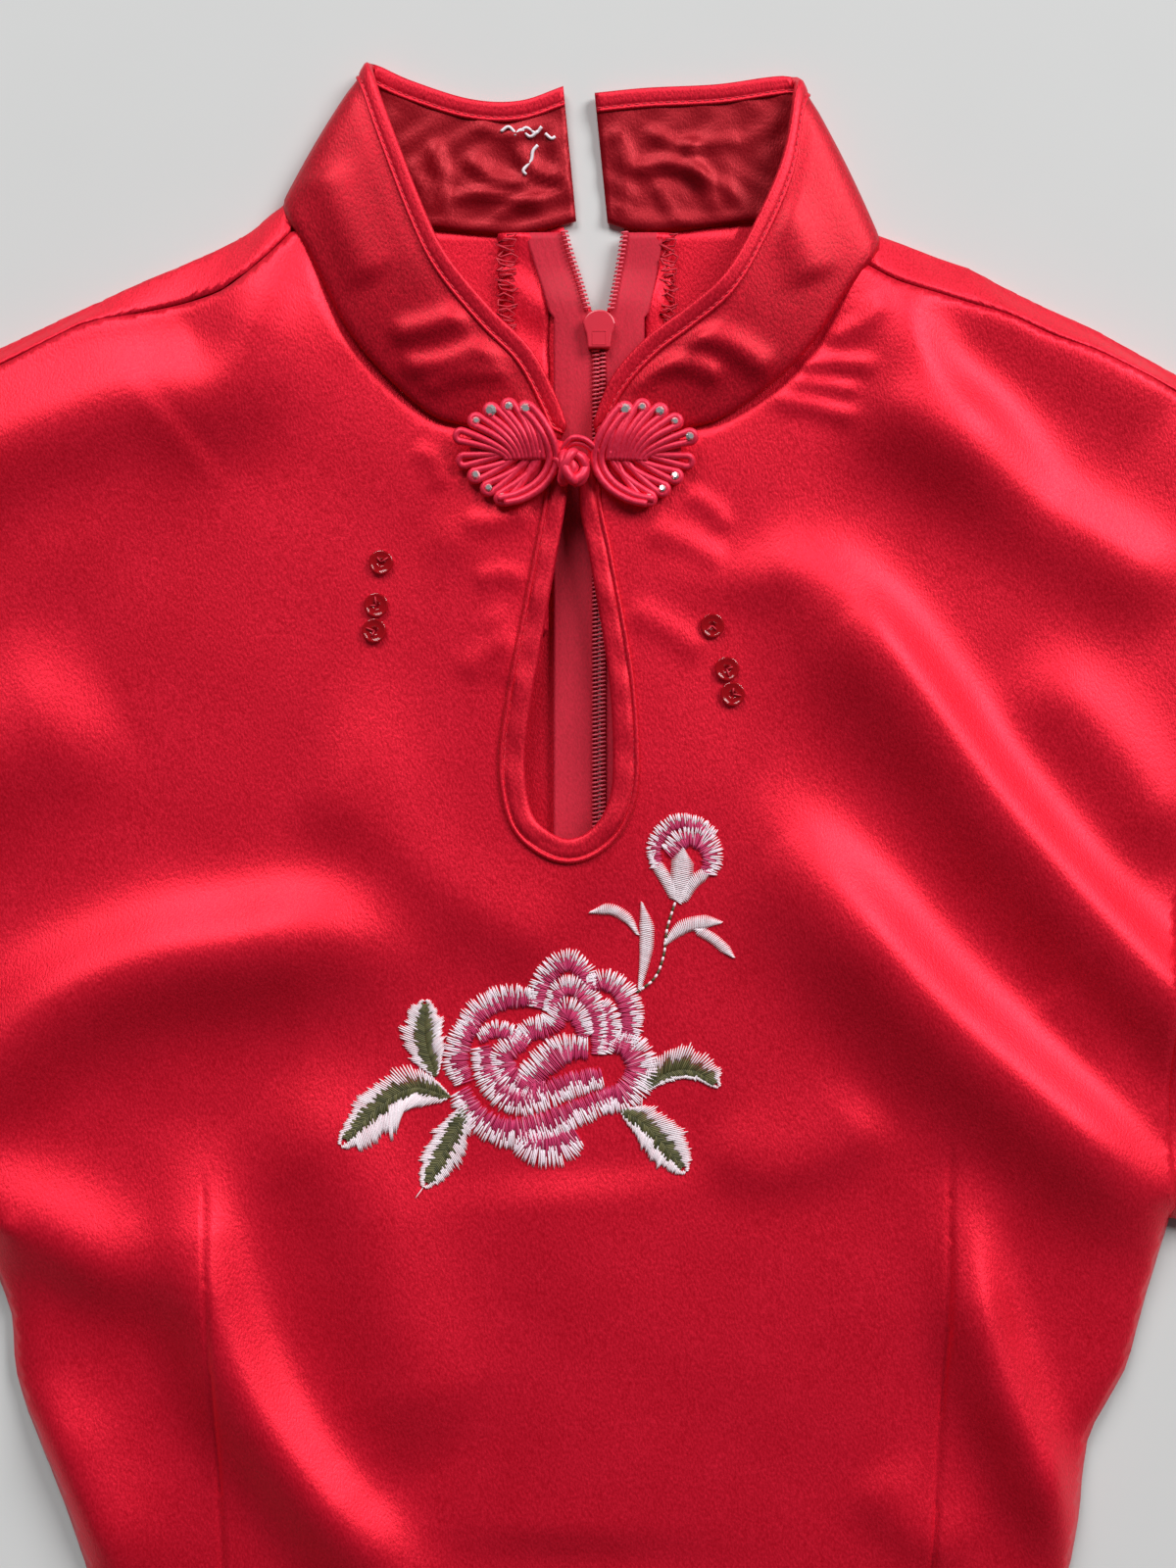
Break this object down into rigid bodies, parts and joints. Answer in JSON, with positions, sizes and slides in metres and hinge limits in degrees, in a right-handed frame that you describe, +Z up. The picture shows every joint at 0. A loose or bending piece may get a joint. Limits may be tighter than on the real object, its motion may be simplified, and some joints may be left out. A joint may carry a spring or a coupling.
{
  "type": "cheongsam dress",
  "caption": "Short-sleeved red satin cheongsam with a stand collar, keyhole front, corded frog closure and back zip, laid flat on its back, face up.",
  "frame": {"origin": "centre of the bounding box in plan, on the surface that the garment lies on", "axes": "+Y towards the collar, +X to the right as seen from above, +Z up out of the front of the garment"},
  "size_m": [0.6854, 1.0106, 0.0206],
  "materials": {
    "red_satin": "satin",
    "collar_satin": "satin",
    "bound_edge": "satin",
    "satin_cord": "satin",
    "zip_tape": "matte",
    "nylon_coil": "gloss",
    "painted_slider": "gloss"
  },
  "bodies": {
    "dress": {"front_panel": "red_satin", "back_left": "red_satin", "back_right": "red_satin", "sleeve_left": "red_satin", "sleeve_right": "red_satin", "collar_left": "collar_satin", "collar_right": "collar_satin", "collar_binding_left": "bound_edge", "collar_binding_right": "bound_edge", "keyhole_binding": "bound_edge", "frog_shell_left": "satin_cord", "frog_shell_right": "satin_cord", "knot_button": "satin_cord", "frog_loop": "satin_cord", "zip_tape_left": "zip_tape", "zip_tape_right": "zip_tape", "zip_coil_left": "nylon_coil", "zip_coil_right": "nylon_coil", "zip_chain": "nylon_coil", "zip_bottom_stop": "painted_slider", "zip_slider": "painted_slider"},
    "zip_pull": {"zip_pull": "painted_slider"}
  },
  "joints": [
    {"name": "zip_pull_swing", "type": "hinge", "parent": "dress", "child": "zip_pull", "pos_m": [0.0042, 0.4262, 0.0015], "axis": [1, 0, 0], "range_deg": [0, 170]}
  ]
}
